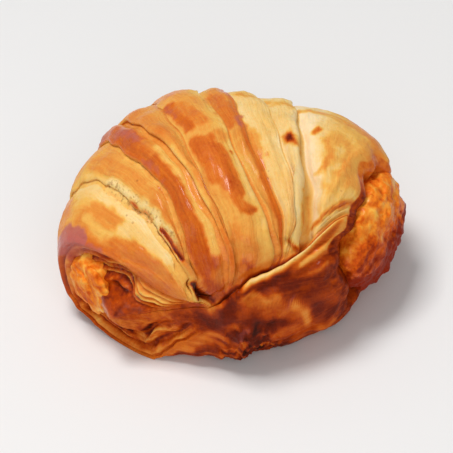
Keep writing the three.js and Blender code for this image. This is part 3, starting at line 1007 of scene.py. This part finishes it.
def turn(name, description, degrees):
    return FloatProperty(
        name=name, description=description, default=math.radians(degrees), unit="ROTATION", subtype="ANGLE")


def colour(name, description, r, g, b):
    """A colour that the panel can change, given as it looks on a screen."""
    return FloatVectorProperty(
        name=name, description=description, default=linear(r, g, b), size=3, subtype="COLOR", min=0, max=1)


class CroissantSizes(bpy.types.PropertyGroup):
    camera_distance: length("Camera distance", "How far the camera stands from the croissant", 0.684)
    view_width: length("View width", "Width of the picture at the croissant", 0.1436)
    elevation: turn("Elevation", "How far the camera looks down", 40)
    roll: turn("Roll", "How far the camera is tilted sideways", 6.8)


class CroissantColours(bpy.types.PropertyGroup):
    floor: colour("Floor", "The stage", 231, 230, 229)
    raw: colour("Raw dough", "Dough that the oven has not coloured", 240, 214, 170)
    pale: colour("Pale dough", "Dough inside a fold", 236, 200, 132)
    straw: colour("Straw", "Lightly baked crust", 231, 176, 86)
    golden: colour("Golden", "Baked crust", 224, 144, 60)
    amber: colour("Amber", "Well baked crust", 211, 108, 29)
    russet: colour("Russet", "Dark baked crust", 176, 66, 4)
    brown: colour("Brown", "Darkest crust", 118, 32, 2)
    burnt: colour("Burnt", "Cracks and burnt specks", 60, 14, 2)
    # Partly painted reflection: scorched crust, its colour lifted to a pinkish sheen as on glossy dark
    # crust catching light.
    scorch: colour("Scorch", "Dull patches where the crust was scorched", 180, 96, 92)
    crumb: colour("Crumb", "Torn dough at a crack", 248, 216, 142)
    # Painted shade: the darker colour of the small holes in torn dough stands for the shade inside them.
    pit_shade: colour("Pit", "Small holes in torn dough", 168, 108, 48)
    speck: colour("Speck", "Small dark specks on the crust", 150, 62, 14)
    filling_dark: colour("Filling, baked", "Darkest filling", 140, 36, 2)
    filling_deep: colour("Filling, deep", "Filling in its hollows", 208, 84, 8)
    filling_orange: colour("Filling, orange", "Most of the filling", 236, 130, 30)
    filling_light: colour("Filling, light", "The filling's moist lumps", 246, 180, 72)


class CROISSANT_OT_dough(bpy.types.Operator):
    """Shape the rolled dough and bake its crust"""

    bl_idname = "croissant.dough"
    bl_label = "Dough"

    def execute(self, context):
        piece, row, column = closed_form("dough_roll", AROUND, ALONG)
        points, facts = dough_grid()
        put(piece, points[row, column])
        for name in ("t", "angle", "wrap", "share", "below", "bake", "scorch", "raw", "end"):
            paint(piece, name, facts[name][row, column])
        bpy.ops.object.shade_smooth()
        piece.data.materials.append(crust_material(context.scene.croissant_colours))
        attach(piece, "root")
        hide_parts("pastry")
        return {"FINISHED"}


class CROISSANT_OT_filling(bpy.types.Operator):
    """Shape the soft filling that shows at both ends"""

    bl_idname = "croissant.filling"
    bl_label = "Filling"

    def execute(self, context):
        piece, row, column = closed_form("filling_core", FILLING_AROUND, FILLING_ALONG)
        points, tone = filling_grid()
        put(piece, points[row, column])
        paint(piece, "tone", tone[row, column])
        bpy.ops.object.shade_smooth()
        piece.data.materials.append(filling_material(context.scene.croissant_colours))
        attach(piece, "root")
        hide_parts("filling")
        return {"FINISHED"}


FLOOR_SIZE = 6
SENSOR_WIDTH = 36
LOOK_AT = (0, 36, 26)  # the point that the camera looks at, on the plan that SPINE is drawn on
WORLD_STRENGTH = 0.32

# The soft lights: their direction, distance and size in metres, and power in watts.
LIGHTS = {
    "key light": ((-0.2, 0.08, 1.0), 0.9, 0.32, 5.7),
    "fill light": ((0.15, -1.0, 0.6), 1.1, 0.9, 4.2),
    "low light": ((-1.0, -0.6, 0.12), 1.1, 0.6, 1.3),
}


class CROISSANT_OT_stage(bpy.types.Operator):
    """Set up the floor, the soft lights and the camera"""

    bl_idname = "croissant.stage"
    bl_label = "Stage"

    def execute(self, context):
        sizes = context.scene.croissant_sizes
        bpy.ops.object.select_all(action="DESELECT")
        bpy.ops.mesh.primitive_plane_add(size=FLOOR_SIZE)
        floor = context.object
        floor.name = "floor"
        material = bpy.data.materials.new("stage")
        material.use_nodes = True
        bsdf = material.node_tree.nodes["Principled BSDF"]
        bsdf.inputs["Base Color"].default_value = (*context.scene.croissant_colours.floor, 1)
        bsdf.inputs["Roughness"].default_value = 0.7
        floor.data.materials.append(material)

        target = (Vector(LOOK_AT) - Vector((*MIDDLE, 0))) * MM
        back = Vector((0, -math.cos(sizes.elevation), math.sin(sizes.elevation)))
        bpy.ops.object.camera_add(location=target + back * sizes.camera_distance)
        camera = context.object
        aim = back.to_track_quat("Z", "Y").to_matrix() @ Matrix.Rotation(-sizes.roll, 3, "Z")
        camera.rotation_euler = aim.to_euler()
        camera.data.sensor_width = SENSOR_WIDTH
        camera.data.lens = SENSOR_WIDTH * sizes.camera_distance / sizes.view_width
        context.scene.camera = camera

        for name, (direction, distance, size, watts) in LIGHTS.items():
            place = target + Vector(direction).normalized() * distance
            bpy.ops.object.light_add(type="AREA", location=place)
            light = context.object
            light.name = name
            light.data.size = size
            light.data.energy = watts
            light.rotation_euler = Vector(direction).to_track_quat("Z", "Y").to_euler()

        world = bpy.data.worlds.new("studio")
        context.scene.world = world
        world.use_nodes = True
        background = world.node_tree.nodes["Background"]
        background.inputs["Color"].default_value = (1, 1, 1, 1)
        background.inputs["Strength"].default_value = WORLD_STRENGTH
        context.scene.view_settings.view_transform = "Standard"
        return {"FINISHED"}


class CROISSANT_PT_panel(bpy.types.Panel):
    bl_label = "Croissant"
    bl_idname = "CROISSANT_PT_panel"
    bl_space_type = "VIEW_3D"
    bl_region_type = "UI"
    bl_category = "Croissant"

    def draw(self, context):
        for operator in OPERATORS:
            self.layout.operator(operator.bl_idname)


OPERATORS = (CROISSANT_OT_dough, CROISSANT_OT_filling, CROISSANT_OT_stage)
CLASSES = (CroissantSizes, CroissantColours, *OPERATORS, CROISSANT_PT_panel)


def register():
    for cls in CLASSES:
        bpy.utils.register_class(cls)
    bpy.types.Scene.croissant_sizes = PointerProperty(type=CroissantSizes)
    bpy.types.Scene.croissant_colours = PointerProperty(type=CroissantColours)


def unregister():
    del bpy.types.Scene.croissant_sizes
    del bpy.types.Scene.croissant_colours
    for cls in reversed(CLASSES):
        bpy.utils.unregister_class(cls)


def main():
    register()
    bpy.ops.croissant.dough()
    bpy.ops.croissant.filling()
    bpy.ops.croissant.stage()


if __name__ == "__main__":
    main()
